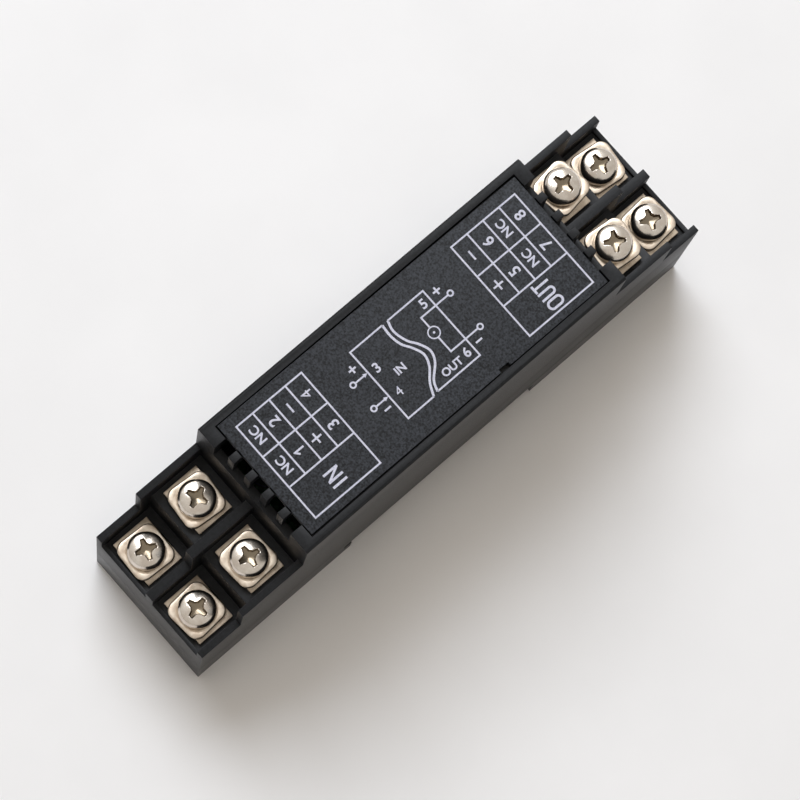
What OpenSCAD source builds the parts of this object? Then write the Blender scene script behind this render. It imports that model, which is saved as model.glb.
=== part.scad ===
// Rail-mounted signal isolator: a slim black module with two stepped rows of screw terminals at each end.
// The back face lies on z = 0, the label faces +Z, the input end is at +Y and the output end at -Y.

/* [Housing] */
// Width of the module across the label
case_w = 22.5; // [21:0.5:30]
// Height of the raised middle above the back face
case_h = 40; // [38:0.5:60]
// Length of the raised middle
crown_l = 58.6; // [56:0.2:72]
// Thickness of the moulded walls
wall_t = 1.4; // [1.1:0.1:1.6]
// Chamfer along the long front edges
edge_chamfer = 0.35; // [0.2:0.05:0.6]
// Thickness of the roof under the label plate
roof_t = 1.6; // [1.2:0.1:2.4]

/* [Terminal bays] */
// Length of an inner bay's shelf from the raised middle
inner_bay_l = 8.9; // [8.7:0.1:12]
// Length of an outer bay's shelf
outer_bay_l = 9.1; // [8.9:0.1:12]
// Height of the walls beside the inner bays
inner_wall_h = 30; // [29:0.2:33]
// Height of the walls beside the outer bays
outer_wall_h = 21.6; // [21.2:0.2:24]
// Depth of the shelves below the tops of their walls
bay_depth = 4.3; // [4.2:0.1:5]
// Distance that the inner bays' walls run past their shelf
wall_overhang = 2; // [0.6:0.1:3]
// Thickness of the walls beside the bays
bay_wall_t = 1.1; // [0.8:0.1:1.4]
// Thickness of the divider between two bays
divider_t = 1.5; // [1:0.1:2]
// Thickness of the shelves
shelf_t = 1.5; // [1:0.1:1.8]
// Height of the lip at the open end of an outer bay
lip_h = 0.7; // [0.4:0.1:1]
// Thickness of that lip
lip_t = 0.7; // [0.5:0.1:0.8]

/* [Vent comb] */
// Number of vent slots at each end of the raised middle
vent_count = 5; // [3:1:5]
// Distance between two vent slots
vent_pitch = 3.35; // [2.6:0.05:3.5]
// Thickness of a comb tooth
tooth_t = 1.2; // [0.8:0.1:1.4]
// Distance that the teeth stay back from the end face
tooth_setback = 0.55; // [0.3:0.05:0.8]
// Depth of the vent slots below the front
vent_depth = 5; // [4:0.2:7]

/* [Label] */
// Width of the rim beside the label plate
side_rim_w = 1.3; // [1:0.1:1.8]
// Width of the rim at the ends of the label plate
end_rim_w = 2; // [1.8:0.1:2.6]
// Gap between the label plate and its recess
plate_gap = 0.2; // [0.1:0.05:0.3]
// Thickness of the label plate
plate_t = 1.2; // [0.8:0.1:1.6]
// Depth of the plate's face below the rim
plate_sink = 0.1; // [0.06:0.01:0.2]
// Length of the pry notch in the plate's edge
notch_l = 1.7; // [1:0.1:3]
// Depth of the pry notch
notch_w = 0.5; // [0.3:0.05:0.8]
// Thickness of the printed ink
ink_t = 0.04; // [0.02:0.01:0.05]
// Width of the printed lines
line_w = 0.26; // [0.2:0.02:0.4]
// Distance from the plate's long edges to a printed terminal table
table_margin = 1.55; // [1.2:0.05:3]
// Length of a printed terminal table
table_l = 11.6; // [10:0.2:12]
// Distance from the plate's end to the table
table_inset = 1.9; // [1:0.1:2.4]
// Distance from the plate's long edges to the printed circuit drawing
drawing_margin = 3.75; // [2.5:0.05:4.5]
// Length of the printed circuit drawing
drawing_l = 13.3; // [12:0.1:14]

/* [Screw terminals] */
// Distance from a screw's axis to the open edge of its shelf
screw_edge = 4.15; // [3.95:0.05:4.3]
// Thickness of the terminal plates
terminal_t = 0.8; // [0.6:0.1:0.9]
// Distance from a terminal plate to the walls beside it
terminal_gap = 0.85; // [0.4:0.05:1]
// Distance from a clamp washer to the sides of its bay
washer_gap = 1.2; // [1.15:0.05:1.6]
// Thickness of the clamp washers
washer_t = 1; // [0.8:0.1:1]
// Diameter of the screw heads
head_d = 5.6; // [5:0.1:6]
// Height of the screw heads
head_h = 2.2; // [1.9:0.1:2.2]
// Diameter of the screw shanks over the thread
shank_d = 2.9; // [2.5:0.1:3]
// Distance from the tips of the outer screws to the circuit board
tip_gap = 1.9; // [1.4:0.1:2.4]
// Outer diameter of the tapped collar under a terminal plate
collar_d = 4.6; // [4.2:0.1:4.8]
// Height of that collar
collar_h = 2.4; // [2:0.1:2.6]
// Width of the solder leg
leg_w = 3; // [2:0.2:4]
// Length of one arm-to-arm line of the cross recess
cross_l = 3.1; // [2.6:0.1:3.4]
// Width of an arm of the cross recess
cross_w = 0.8; // [0.6:0.05:1]
// Depth of the cross recess
cross_depth = 1.5; // [1:0.1:1.6]

/* [Rail foot] */
// Height of the foot that closes the back
foot_h = 8.6; // [8.4:0.1:9.6]
// Width of the mounting rail over its flanges
rail_w = 35; // [34:0.5:36]
// Depth of the rail recess in the back
rail_depth = 5; // [4.8:0.1:5.4]
// Thickness of the rail's flange
flange_t = 1; // [1:0.1:1.1]
// Clearance around the rail
rail_gap = 0.3; // [0.2:0.05:0.4]
// Reach of the fixed hook and of the latch under the rail's flange
hook_reach = 1.5; // [1.2:0.1:1.8]
// Width of the latch
latch_w = 10; // [8:0.5:12]
// Width of the guide strip on each side of the latch
latch_guide_w = 1.5; // [1:0.1:2]
// Running clearance around the latch
latch_gap = 0.15; // [0.1:0.05:0.2]
// Outer diameter of the latch spring
spring_d = 3; // [2.6:0.1:3]
// Wire diameter of the latch spring
wire_d = 0.4; // [0.3:0.05:0.5]
// Length of the latch spring at rest
spring_l = 11.5; // [10:0.1:13]

/* [Circuit board] */
// Thickness of the circuit board
board_t = 1.6; // [1.2:0.1:1.6]
// Height of the posts under the circuit board
post_h = 1; // [0.9:0.1:1.2]
// Height of the spigot that centres the foot in the housing
spigot_h = 2; // [1.5:0.1:3]
// Thickness of the spigot's walls
spigot_t = 1; // [0.8:0.1:1.2]
// Width of the transformer core
core_w = 15.6; // [14:0.2:15.6]
// Length of the transformer core
core_l = 14; // [12:0.2:16]
// Thickness of the transformer core
core_t = 5; // [4:0.2:5.4]
// Height of the transformer's bobbin
bobbin_h = 11; // [10:0.2:13]
// Diameter of the capacitors
capacitor_d = 6.3; // [5:0.1:6.5]
// Height of the capacitors
capacitor_h = 11; // [9:0.5:14]

/* [Hidden] */
$fn = 48;

// Overrun of a cut past the face that it opens
overrun = 0.5;
// Clearance between a moulded hole and what passes through it
hole_gap = 0.2;
// Clearance between the foot's spigot and the housing wall
spigot_gap = 0.1;

// Lengths over the shelves, the walls and the whole housing
shelf_l = crown_l + 2 * inner_bay_l;
case_l = shelf_l + 2 * outer_bay_l;
inner_wall_l = shelf_l + 2 * wall_overhang;

// Shelf heights, bay width and screw places
inner_floor = inner_wall_h - bay_depth;
outer_floor = outer_wall_h - bay_depth;
bay_w = (case_w - 2 * bay_wall_t - divider_t) / 2;
screw_x = (divider_t + bay_w) / 2;
inner_screw_y = shelf_l / 2 - screw_edge;
outer_screw_y = case_l / 2 - screw_edge;
washer_side = min(bay_w, inner_bay_l, outer_bay_l) - 2 * washer_gap;

// Each terminal's column along +X, end along +Y and row, 0 for the inner row and 1 for the outer one
TERMINALS = [
    [-1, 1, 1], [1, 1, 1], [-1, 1, 0], [1, 1, 0],
    [-1, -1, 0], [1, -1, 0], [-1, -1, 1], [1, -1, 1]
];
// Angle that each clamp washer and each cross recess came to rest at
WASHER_TURN = [4, -3, 3, -5, 6, -8, -4, 7];
CROSS_TURN = [12, -18, -8, 20, 31, -12, 24, 8];

// Turns that each screw stands backed out, with its washer
TURNS_OUT = [0, 0, 0, 0, 4, 4, 0, 0];
thread_pitch = 0.5;
function lift_of(n) = TURNS_OUT[n - 1] * thread_pitch;

function floor_of(n) = TERMINALS[n - 1][2] == 0 ? inner_floor : outer_floor;
function screw_y_of(n) = TERMINALS[n - 1][1] * (TERMINALS[n - 1][2] == 0 ? inner_screw_y : outer_screw_y);
function screw_x_of(n) = TERMINALS[n - 1][0] * screw_x;
function bay_l_of(n) = TERMINALS[n - 1][2] == 0 ? inner_bay_l : outer_bay_l;

// Distances from a terminal plate to the wall at the back of its bay and to the lip at the front
leg_gap = 1.55;
lip_gap = 0.7;
// Distance from terminal n's screw to the inner end of its plate, where the leg is
function leg_reach_of(n) = bay_l_of(n) - screw_edge - leg_gap;

// A box centred on X and Y between two heights
module slab(w, l, z0, z1) {
    translate([-w / 2, -l / 2, z0]) cube([w, l, z1 - z0]);
}

// Children at both ends of the module
module at_both_ends() {
    children();
    mirror([0, 1, 0]) children();
}

// The stepped side outline, from the foot up, with given step lengths and step heights
module stepped_outline(low_l, low_h, mid_l, mid_h, top_l, top_h) {
    polygon([
        [-low_l / 2, foot_h], [low_l / 2, foot_h], [low_l / 2, low_h], [mid_l / 2, low_h],
        [mid_l / 2, mid_h], [top_l / 2, mid_h], [top_l / 2, top_h], [-top_l / 2, top_h],
        [-top_l / 2, mid_h], [-mid_l / 2, mid_h], [-mid_l / 2, low_h], [-low_l / 2, low_h]
    ]);
}

// An outline drawn in Y and Z, given a thickness along X and centred there
module across(w) {
    translate([-w / 2, 0, 0]) rotate([90, 0, 90]) linear_extrude(w) children();
}

// Moves children to terminal n, on its shelf
module at_terminal(n) {
    translate([screw_x_of(n), screw_y_of(n), floor_of(n)])
        mirror([0, TERMINALS[n - 1][1] > 0 ? 0 : 1, 0]) children();
}

// The label's recess and the roof below it
recess_depth = plate_t + plate_sink;
recess_w = case_w - 2 * side_rim_w;
recess_l = crown_l - 2 * end_rim_w;
roof_z = case_h - recess_depth;
vent_zone_w = vent_count * vent_pitch - tooth_t;
end_wall_t = 1.3;

module vent_comb() {
    for (i = [0 : vent_count - 1])
        translate([
            (i - (vent_count - 1) / 2) * vent_pitch - (vent_pitch - tooth_t) / 2,
            recess_l / 2 - overrun,
            case_h - vent_depth
        ])
            cube([vent_pitch - tooth_t, end_rim_w + 2 * overrun, vent_depth + overrun]);
    translate([-vent_zone_w / 2, crown_l / 2 - tooth_setback, case_h - vent_depth])
        cube([vent_zone_w, tooth_setback + overrun, vent_depth + overrun]);
}

// The long front edge, cut to a chamfer on one side
module edge_cut() {
    side = edge_chamfer * sqrt(2);
    translate([case_w / 2, 0, case_h]) rotate([0, 45, 0])
        slab(side, crown_l + 2 * overrun, -side / 2, side / 2);
}

// The side outline of the walls beside and between the bays
module wall_outline() {
    stepped_outline(case_l, outer_wall_h, inner_wall_l, inner_wall_h, crown_l, case_h);
}

module case() {
    color("#232427") difference() {
        union() {
            across(case_w) stepped_outline(case_l, outer_floor, shelf_l, inner_floor, crown_l, case_h);
            across(divider_t) wall_outline();
            for (m = [0, 1]) mirror([m, 0, 0])
                translate([(case_w - bay_wall_t) / 2, 0, 0]) across(bay_wall_t) wall_outline();
            at_both_ends() translate([-case_w / 2, case_l / 2 - lip_t, foot_h])
                cube([case_w, lip_t, outer_floor + lip_h - foot_h]);
        }
        across(case_w - 2 * wall_t)
            stepped_outline(
                case_l - 2 * end_wall_t, outer_floor - shelf_t,
                shelf_l - 2 * end_wall_t, inner_floor - shelf_t,
                crown_l - 2 * wall_t, roof_z - roof_t
            );
        slab(case_w - 2 * wall_t, case_l - 2 * end_wall_t, foot_h - overrun, foot_h + overrun);
        slab(recess_w, recess_l, roof_z, case_h + overrun);
        at_both_ends() vent_comb();
        for (m = [0, 1]) mirror([m, 0, 0]) edge_cut();
        for (n = [1 : len(TERMINALS)]) at_terminal(n) {
            translate([0, 0, -collar_h - overrun])
                cylinder(d = collar_d + 2 * hole_gap, h = collar_h + 2 * overrun);
            translate([-leg_w / 2 - hole_gap, -leg_reach_of(n) - hole_gap, -shelf_t - overrun])
                cube([leg_w + 2 * hole_gap, terminal_t + 2 * hole_gap, shelf_t + 2 * overrun]);
        }
    }
}

// The foot closes the back, hooks over one rail flange and guides the latch that holds the other
tilt_gap = 0.5;
hook_slot_h = flange_t + rail_gap + tilt_gap;
latch_lift = 0.4;
latch_guide_z = 2;
latch_top = rail_depth - flange_t - rail_gap;
latch_nose_y = rail_w / 2 - hook_reach;
latch_inset = 1;
latch_end_y = case_l / 2 - latch_inset;
nose_h = 1;
channel_top = latch_top + latch_gap;
spring_z = channel_top + latch_gap + spring_d / 2;
lug_t = 1.5;
lug_w = 3.2;
lug_offset = 3;
lug_y = rail_w / 2 + lug_offset;
grip_l = 2.2;
grip_w_share = 0.6;
pocket_top = spring_z + spring_d / 2 + latch_gap;
spigot_w = case_w - 2 * wall_t - 2 * spigot_gap;
spigot_l = case_l - 2 * end_wall_t - 2 * spigot_gap;
post_d = 3;
board_w = spigot_w - 2 * spigot_t - 2 * hole_gap;
board_l = spigot_l - 2 * spigot_t - 2 * hole_gap;
board_z = foot_h + post_h;
board_top = board_z + board_t;

module foot() {
    color("#27282b") difference() {
        union() {
            slab(case_w, case_l, 0, foot_h);
            difference() {
                slab(spigot_w, spigot_l, foot_h, foot_h + spigot_h);
                slab(
                    spigot_w - 2 * spigot_t, spigot_l - 2 * spigot_t,
                    foot_h - overrun, foot_h + spigot_h + overrun
                );
            }
            for (x = [-1, 1], y = [-1, 1])
                translate([x * (board_w - post_d) / 2, y * (board_l - post_d) / 2, foot_h])
                    cylinder(d = post_d, h = post_h);
        }
        slab(case_w + 2 * overrun, rail_w + 2 * rail_gap, -overrun, rail_depth);
        translate([-case_w / 2 - overrun, 0, rail_depth - hook_slot_h])
            cube([case_w + 2 * overrun, rail_w / 2 + rail_gap + hook_reach, hook_slot_h]);
        latch_channel();
    }
}

// The T-shaped channel for the latch and the pocket for its spring, open at the -Y end
module latch_channel() {
    channel_l = case_l / 2 - rail_w / 2 + overrun;
    translate([0, -rail_w / 2 - channel_l / 2, 0]) {
        slab(latch_w + 2 * latch_gap, channel_l, -overrun, channel_top);
        slab(latch_w + 2 * latch_guide_w + 2 * latch_gap, channel_l, latch_guide_z - latch_gap, channel_top);
    }
    pocket_l = spring_l + lug_t + 2 * latch_gap;
    translate([0, -lug_y + latch_gap - pocket_l / 2, 0])
        slab(lug_w + 2 * latch_gap, pocket_l, channel_top - overrun, pocket_top);
}

module rail_latch() {
    latch_l = latch_end_y - rail_w / 2 - rail_gap;
    nose_y = -rail_w / 2 - rail_gap;
    bar_y = nose_y - latch_l / 2;
    color("#303135") difference() {
        union() {
            translate([0, bar_y, 0]) slab(latch_w, latch_l, latch_lift, latch_top);
            translate([0, bar_y, 0])
                slab(latch_w + 2 * latch_guide_w, latch_l, latch_guide_z, latch_top);
            // nose with a ramp that the rail's flange pushes back
            across(latch_w) polygon([
                [nose_y - nose_h, latch_lift], [nose_y, latch_lift], [-latch_nose_y, latch_top - nose_h],
                [-latch_nose_y, latch_top], [nose_y - nose_h, latch_top]
            ]);
            translate([0, -lug_y - lug_t / 2, 0]) slab(lug_w, lug_t, latch_lift, pocket_top - latch_gap);
        }
        translate([0, -latch_end_y + 2 * grip_l, 0])
            slab(grip_w_share * latch_w, grip_l, -overrun, latch_top + overrun);
    }
}

// Coil spring along Y: a wire ring is carried round a helix
spring_turns = 7;
RING_SIDES = 8;
RINGS_PER_TURN = 14;

function coil_ring(i) =
    let (
        a = 360 * i / RINGS_PER_TURN,
        share = i / (spring_turns * RINGS_PER_TURN),
        r = (spring_d - wire_d) / 2,
        y = -lug_y - lug_t - wire_d / 2 - share * (spring_l - wire_d)
    )
    [
        for (k = [0 : RING_SIDES - 1])
            let (b = 360 * k / RING_SIDES, q = r + wire_d / 2 * cos(b))
            [q * cos(a), y - wire_d / 2 * sin(b), spring_z + q * sin(a)]
    ];

module latch_spring() {
    rings = spring_turns * RINGS_PER_TURN;
    points = [for (i = [0 : rings]) each coil_ring(i)];
    sides = [
        for (i = [0 : rings - 1], k = [0 : RING_SIDES - 1])
            let (k2 = (k + 1) % RING_SIDES)
            [i * RING_SIDES + k, i * RING_SIDES + k2, (i + 1) * RING_SIDES + k2, (i + 1) * RING_SIDES + k]
    ];
    caps = [
        [for (k = [RING_SIDES - 1 : -1 : 0]) k],
        [for (k = [0 : RING_SIDES - 1]) rings * RING_SIDES + k]
    ];
    color("#b9bcc0") polyhedron(points, concat(sides, caps), convexity = 8);
}

// The label plate drops into its recess, a little askew, with a pry notch in one long edge
plate_w = recess_w - 2 * plate_gap;
plate_l = recess_l - 2 * plate_gap;
plate_skew = -0.2;
table_w = plate_w - 2 * table_margin;
drawing_w = plate_w - 2 * drawing_margin;
notch_y_share = -0.15;

module label_plate() {
    color("#34373e") rotate(plate_skew) difference() {
        slab(plate_w, plate_l, roof_z, roof_z + plate_t);
        translate([-plate_w / 2, notch_y_share * plate_l, 0])
            slab(2 * notch_w, notch_l, roof_z - overrun, roof_z + plate_t + overrun);
    }
}

// Letters and digits as strokes, in shares of the letter's width and height
GLYPH_SHARES = [
    ["1", [[[0.15, 0.75], [0.55, 1], [0.55, 0]]]],
    ["2", [[[0, 0.8], [0.3, 1], [0.7, 1], [1, 0.75], [0, 0], [1, 0]]]],
    ["3", [[
        [0, 0.85], [0.3, 1], [0.7, 1], [1, 0.75], [0.5, 0.53],
        [1, 0.28], [0.7, 0], [0.3, 0], [0, 0.15]
    ]]],
    ["4", [[[0.75, 0], [0.75, 1], [0, 0.3], [1, 0.3]]]],
    ["5", [[
        [0.9, 1], [0.15, 1], [0.1, 0.5], [0.6, 0.62], [1, 0.4],
        [1, 0.2], [0.7, 0], [0.3, 0], [0, 0.15]
    ]]],
    ["6", [[
        [0.85, 1], [0.35, 0.85], [0, 0.4], [0.1, 0.1], [0.5, 0],
        [0.9, 0.1], [1, 0.35], [0.8, 0.58], [0.3, 0.55], [0, 0.35]
    ]]],
    ["7", [[[0, 1], [1, 1], [0.4, 0]]]],
    ["8", [[
        [0.5, 0.54], [0.1, 0.75], [0.3, 1], [0.7, 1], [0.9, 0.75], [0.5, 0.54],
        [1, 0.28], [0.7, 0], [0.3, 0], [0, 0.28], [0.5, 0.54]
    ]]],
    ["+", [[[0, 0.5], [1, 0.5]], [[0.5, 0.1], [0.5, 0.9]]]],
    ["-", [[[0, 0.5], [1, 0.5]]]],
    ["C", [[[1, 0.8], [0.7, 1], [0.3, 1], [0, 0.7], [0, 0.3], [0.3, 0], [0.7, 0], [1, 0.2]]]],
    ["I", [[[0.5, 0], [0.5, 1]]]],
    ["N", [[[0, 0], [0, 1], [1, 0], [1, 1]]]],
    ["O", [[
        [0.3, 0], [0.7, 0], [1, 0.3], [1, 0.7], [0.7, 1],
        [0.3, 1], [0, 0.7], [0, 0.3], [0.3, 0]
    ]]],
    ["T", [[[0, 1], [1, 1]], [[0.5, 1], [0.5, 0]]]],
    ["U", [[[0, 1], [0, 0.3], [0.3, 0], [0.7, 0], [1, 0.3], [1, 1]]]]
];
glyph_w_share = 0.6;
glyph_pitch_share = 0.95;

// One straight printed line between two points
module stroke(p, q) {
    translate(p) rotate(atan2(q.y - p.y, q.x - p.x)) translate([-line_w / 2, -line_w / 2])
        square([norm(q - p) + line_w, line_w]);
}

// Printed lines along a list of points
module polyline(points) {
    for (i = [1 : len(points) - 1]) stroke(points[i - 1], points[i]);
}

// One letter of height h, centred on the origin
module glyph(name, h) {
    w = glyph_w_share * h;
    strokes = GLYPH_SHARES[search([name], GLYPH_SHARES)[0]][1];
    for (line = strokes) polyline([for (p = line) [(p.x - 1 / 2) * w, (p.y - 1 / 2) * h]]);
}

// A word of letters of height h, centred on a place and turned by an angle
module word(letters, h, place, turn) {
    pitch = glyph_pitch_share * h;
    translate(place) rotate(turn)
        for (i = [0 : len(letters) - 1])
            translate([(i - (len(letters) - 1) / 2) * pitch, 0]) glyph(letters[i], h);
}

// One ring of the printed drawing
module ring(place, r) {
    translate(place) difference() {
        circle(r + line_w / 2);
        circle(r - line_w / 2);
    }
}

small_text_h = 1.2;
digit_h = 1.4;
title_h = 2.2;
title_y_share = 0.6;
TABLE_ROWS = 4;
TABLE_COLUMNS = 3;

// A table of three columns: a title over the whole height, then four rows of two cells
module terminal_table(title, rows) {
    column = table_w / TABLE_COLUMNS;
    row = table_l / TABLE_ROWS;
    for (x = [0, table_w]) stroke([x, 0], [x, table_l]);
    for (y = [0, table_l]) stroke([0, y], [table_w, y]);
    for (x = [column, 2 * column]) stroke([x, 0], [x, table_l]);
    for (i = [1 : TABLE_ROWS - 1]) stroke([column, i * row], [table_w, i * row]);
    word(title, title_h, [column / 2, title_y_share * table_l], 0);
    for (i = [0 : TABLE_ROWS - 1], k = [0, 1])
        word(
            rows[i][k], rows[i][k] == "NC" ? small_text_h : digit_h,
            [(k + 3 / 2) * column, (TABLE_ROWS - i - 1 / 2) * row], 0
        );
}

// The wavy isolation gap, as shares of the drawing's width and length from its centre
WAVE_SHARES = [
    [0.5, 0.09], [0.33, 0.1], [0.06, 0], [-0.08, -0.03],
    [-0.22, 0.01], [-0.36, 0.11], [-0.5, 0.18]
];
wave_step = 0.9;

// A point at share t between the second and third of four points, on a smooth curve
function smooth(a, b, c, d, t) =
    (2 * b + (c - a) * t + (2 * a - 5 * b + 4 * c - d) * t * t + (3 * b - a - 3 * c + d) * t * t * t) / 2;

WAVE_STEPS = 4;

function wave_points(shift) =
    let (
        p = [for (s = WAVE_SHARES) [s.x * drawing_w, s.y * drawing_l - shift]],
        last = len(p) - 1,
        q = concat([2 * p[0] - p[1]], p, [2 * p[last] - p[last - 1]])
    )
    concat(
        [
            for (i = [1 : last], k = [0 : WAVE_STEPS - 1])
                smooth(q[i - 1], q[i], q[i + 1], q[i + 2], k / WAVE_STEPS)
        ],
        [p[last]]
    );

lead_l = 2.7;
lead_x = 2.6;
lead_ring_r = 0.45;
source_r = 0.8;
source_y_share = -0.3;
digit_y_share = 0.4;
in_text_y_share = 0.22;
out_text_shares = [-0.4, -0.2];
// Places of the printed signs and digits, in shares of a lead's distance from the middle
sign_x_share = 1.6;
in_digit_x_share = 0.9;
out_digit_x_share = 1.75;

// The outline of one side of the drawing: an end bar, then the wave back to where it started
module drawing_side(bar_y, wave) {
    polyline(concat([[-drawing_w / 2, bar_y], [drawing_w / 2, bar_y]], wave, [[-drawing_w / 2, bar_y]]));
}

// The drawing of an input side and an output side, each with two leads
module circuit_drawing() {
    source_y = source_y_share * drawing_l;
    drawing_side(drawing_l / 2, wave_points(-wave_step / 2));
    drawing_side(-drawing_l / 2, wave_points(wave_step / 2));
    for (side = [-1, 1]) {
        x = side * lead_x;
        sign = side > 0 ? "+" : "-";
        stroke([x, drawing_l / 2], [x, drawing_l / 2 + lead_l - lead_ring_r]);
        ring([x, drawing_l / 2 + lead_l], lead_ring_r);
        stroke([x, source_y], [x, -drawing_l / 2 - lead_l + lead_ring_r]);
        ring([x, -drawing_l / 2 - lead_l], lead_ring_r);
        word(sign, small_text_h, [sign_x_share * x, (drawing_l + lead_l) / 2], -90);
        word(sign, small_text_h, [sign_x_share * x, -(drawing_l + lead_l) / 2], -90);
        word(side > 0 ? "3" : "4", small_text_h, [in_digit_x_share * x, digit_y_share * drawing_l], -90);
        word(side > 0 ? "5" : "6", small_text_h, [out_digit_x_share * x, -digit_y_share * drawing_l], -90);
    }
    stroke([-lead_x, source_y], [lead_x, source_y]);
    ring([0, source_y], source_r);
    word("IN", small_text_h, [0, in_text_y_share * drawing_l], -90);
    word("OUT", small_text_h, [out_text_shares[0] * drawing_w, out_text_shares[1] * drawing_l], -90);
}

table_x = -0.25;

module label_print() {
    color("#c9cbdd") rotate(plate_skew) translate([0, 0, roof_z + plate_t]) linear_extrude(ink_t) {
        translate([table_x - table_w / 2, plate_l / 2 - table_inset - table_l])
            terminal_table("IN", [["NC", "NC"], ["1", "2"], ["+", "-"], ["3", "4"]]);
        translate([table_x - table_w / 2, -plate_l / 2 + table_inset])
            terminal_table("OUT", [["+", "-"], ["5", "6"], ["NC", "NC"], ["7", "8"]]);
        circuit_drawing();
    }
}

// A terminal plate on its shelf, with its tapped collar and the leg that is soldered to the board
module terminal(n) {
    strip_w = bay_w - 2 * terminal_gap;
    leg_reach = leg_reach_of(n);
    outer_reach = screw_edge - lip_t - lip_gap;
    leg_h = floor_of(n) - board_z + hole_gap;
    color("#cfc7b4") at_terminal(n) difference() {
        union() {
            translate([-strip_w / 2, -leg_reach, 0]) cube([strip_w, leg_reach + outer_reach, terminal_t]);
            translate([0, 0, -collar_h]) cylinder(d = collar_d, h = collar_h);
            translate([-leg_w / 2, -leg_reach, -leg_h]) cube([leg_w, terminal_t, leg_h]);
        }
        translate([0, 0, -collar_h - overrun])
            cylinder(d = shank_d + 2 * thread_gap, h = collar_h + terminal_t + 2 * overrun);
    }
}

thread_gap = 0.05;
washer_corner = 0.7;

// The square clamp washer under each screw head
module clamp_washer(n) {
    w = washer_side / 2 - washer_corner;
    seat_z = terminal_t + lift_of(n);
    color("#d6cfc0") at_terminal(n) translate([0, 0, seat_z]) rotate(WASHER_TURN[n - 1]) difference() {
        union() {
            slab(washer_side, 2 * w, 0, washer_t);
            slab(2 * w, washer_side, 0, washer_t);
            for (x = [-w, w], y = [-w, w]) translate([x, y, 0]) cylinder(r = washer_corner, h = washer_t);
        }
        translate([0, 0, -overrun]) cylinder(d = shank_d + 2 * hole_gap, h = washer_t + 2 * overrun);
    }
}

head_rim_h = 0.9;
shank_l = outer_floor + terminal_t + washer_t - board_top - tip_gap;

// A pan head screw with a cross recess
module terminal_screw(n) {
    dome_h = head_h - head_rim_h;
    dome_r = (head_d * head_d / 4 + dome_h * dome_h) / (2 * dome_h);
    seat_z = terminal_t + washer_t + lift_of(n);
    color("#dad6cc") at_terminal(n) translate([0, 0, seat_z]) rotate(CROSS_TURN[n - 1])
        difference() {
            union() {
                translate([0, 0, -shank_l]) cylinder(d = shank_d, h = shank_l + head_rim_h);
                intersection() {
                    cylinder(d = head_d, h = head_h);
                    translate([0, 0, head_h - dome_r]) sphere(r = dome_r, $fn = 64);
                }
            }
            for (turn = [0, 90]) rotate(turn)
                slab(cross_l, cross_w, head_h - cross_depth, head_h + overrun);
        }
}

module circuit_board() {
    color("#1f6b3a") difference() {
        slab(board_w, board_l, board_z, board_top);
        for (n = [1 : len(TERMINALS)]) at_terminal(n)
            translate([0, terminal_t / 2 - leg_reach_of(n), board_z - floor_of(n)])
                slab(leg_w + hole_gap, terminal_t + hole_gap, -overrun, board_t + overrun);
    }
}

// The transformer stands on the board with its bobbin's axis along Y
transformer_y_share = 0.04;
flange_wall = 0.8;
tube_wall = 0.6;
side_leg_w = 2.4;
core_gap = 0.1;
coil_gap = 0.3;
transformer_y = transformer_y_share * crown_l;
core_z = board_top + bobbin_h / 2;
bobbin_w = core_w - 2 * side_leg_w - 2 * core_gap;
bobbin_l = core_l - 2 * side_leg_w - 2 * core_gap;
tube_side = core_t + 2 * core_gap + 2 * tube_wall;

module transformer_core() {
    window_w = (core_w - 2 * side_leg_w - core_t) / 2;
    color("#3b3a3a") translate([0, transformer_y, 0]) difference() {
        slab(core_w, core_l, core_z - core_t / 2, core_z + core_t / 2);
        for (side = [-1, 1]) translate([side * (core_t + window_w) / 2, 0, 0])
            slab(
                window_w, core_l - 2 * side_leg_w,
                core_z - core_t / 2 - overrun, core_z + core_t / 2 + overrun
            );
    }
}

module transformer_bobbin() {
    color("#6b2f1c") translate([0, transformer_y, 0]) difference() {
        slab(bobbin_w, bobbin_l, board_top, board_top + bobbin_h);
        difference() {
            slab(
                bobbin_w + 2 * overrun, bobbin_l - 2 * flange_wall,
                board_top - overrun, board_top + bobbin_h + overrun
            );
            slab(tube_side, bobbin_l, core_z - tube_side / 2, core_z + tube_side / 2);
        }
        slab(
            core_t + 2 * core_gap, bobbin_l + 2 * overrun,
            core_z - core_t / 2 - core_gap, core_z + core_t / 2 + core_gap
        );
    }
}

module transformer_winding() {
    coil_w = bobbin_w - 2 * core_gap;
    coil_h = bobbin_h - 2 * coil_gap;
    color("#b87333") translate([0, transformer_y, 0]) difference() {
        slab(coil_w, bobbin_l - 2 * flange_wall, core_z - coil_h / 2, core_z + coil_h / 2);
        slab(tube_side, bobbin_l, core_z - tube_side / 2, core_z + tube_side / 2);
    }
}

part_x_share = 0.25;
part_y_share = 0.36;
groove_z_share = 0.16;
groove_r_share = 0.05;
part_x = part_x_share * board_w;
part_y = part_y_share * crown_l;

// A capacitor can with the rolled groove near its foot
module capacitor(end) {
    color("#1c2b4a") translate([part_x, end * part_y, board_top]) difference() {
        cylinder(d = capacitor_d, h = capacitor_h);
        translate([0, 0, groove_z_share * capacitor_h]) rotate_extrude()
            translate([capacitor_d / 2, 0]) circle(groove_r_share * capacitor_d, $fn = 24);
    }
}

// A chip body on two rows of bent pins
module chip(place, w, l, pins) {
    pin_w = 0.4;
    pin_reach = 1;
    stand_h = 0.1;
    chip_h = 1.6;
    pin_pitch = l / pins;
    color("#1a1a1c") translate([place.x, place.y, board_top]) {
        slab(w, l, stand_h, stand_h + chip_h);
        for (side = [-1, 1], i = [0 : pins - 1])
            translate([side * (w + pin_reach) / 2, (i - (pins - 1) / 2) * pin_pitch, 0])
                slab(pin_reach, pin_w, 0, chip_h / 2);
    }
}

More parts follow.
